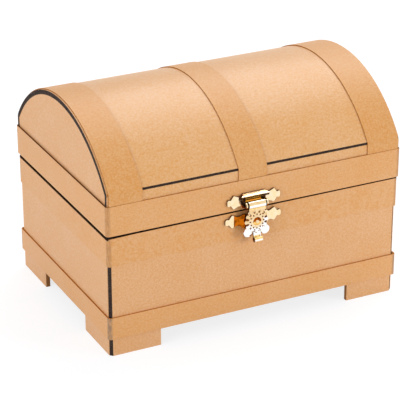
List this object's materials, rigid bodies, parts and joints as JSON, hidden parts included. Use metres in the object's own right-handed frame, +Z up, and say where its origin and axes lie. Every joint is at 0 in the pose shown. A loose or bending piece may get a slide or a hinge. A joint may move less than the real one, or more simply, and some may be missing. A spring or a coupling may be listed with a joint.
{
  "type": "treasure chest box",
  "caption": "Small kraft-board treasure chest with a footed base, a round-topped hinged lid, paper straps and a gilt hasp clasp, for keepsakes and crafts.",
  "frame": {"origin": "on the ground, under the middle of the whole closed box", "axes": "+X along the box's width to the right seen from the front, -Y towards the clasp, +Z up"},
  "size_m": [0.108, 0.0842, 0.0776],
  "materials": {
    "core_board": "matt dark chipboard",
    "kraft_paper": "matt smooth kraft paper",
    "kraft_strip": "matt kraft tape",
    "gilt_brass": "polished gilt"
  },
  "bodies": {
    "base": {"base_front_wall": "core_board", "base_back_wall": "core_board", "base_left_wall": "core_board", "base_right_wall": "core_board", "base_front_facing": "kraft_paper", "base_back_facing": "kraft_paper", "base_left_facing": "kraft_paper", "base_right_facing": "kraft_paper", "base_floor": "core_board", "floor_lining": "kraft_paper", "base_lining": "kraft_paper", "base_plinth_band": "kraft_strip", "base_rim_band": "kraft_strip", "catch_plate": "gilt_brass", "left_hinge_base_leaf": "gilt_brass", "left_hinge_pin": "gilt_brass", "right_hinge_base_leaf": "gilt_brass", "right_hinge_pin": "gilt_brass"},
    "lid": {"lid_vault_board": "core_board", "lid_vault_facing": "kraft_paper", "lid_vault_lining": "kraft_paper", "lid_front_flange_facing": "kraft_paper", "lid_back_flange_facing": "kraft_paper", "lid_left_gable": "core_board", "lid_right_gable": "core_board", "lid_left_gable_facing": "kraft_paper", "lid_right_gable_facing": "kraft_paper", "lid_left_gable_lining": "kraft_paper", "lid_right_gable_lining": "kraft_paper", "lid_rim_band": "kraft_strip", "left_strap": "kraft_strip", "centre_strap": "kraft_strip", "right_strap": "kraft_strip", "clasp_plate": "gilt_brass", "hasp_pin": "gilt_brass", "left_hinge_lid_leaf": "gilt_brass", "right_hinge_lid_leaf": "gilt_brass"},
    "hasp": {"hasp": "gilt_brass"}
  },
  "joints": [
    {"name": "lid_hinge", "type": "hinge", "parent": "base", "child": "lid", "pos_m": [0, 0.04097, 0.0428], "axis": [-1, 0, 0], "range_deg": [0, 180]},
    {"name": "hasp_swing", "type": "hinge", "parent": "lid", "child": "hasp", "pos_m": [-0.0019, -0.03997, 0.0455], "axis": [-1, 0, 0], "range_deg": [0, 135]}
  ]
}
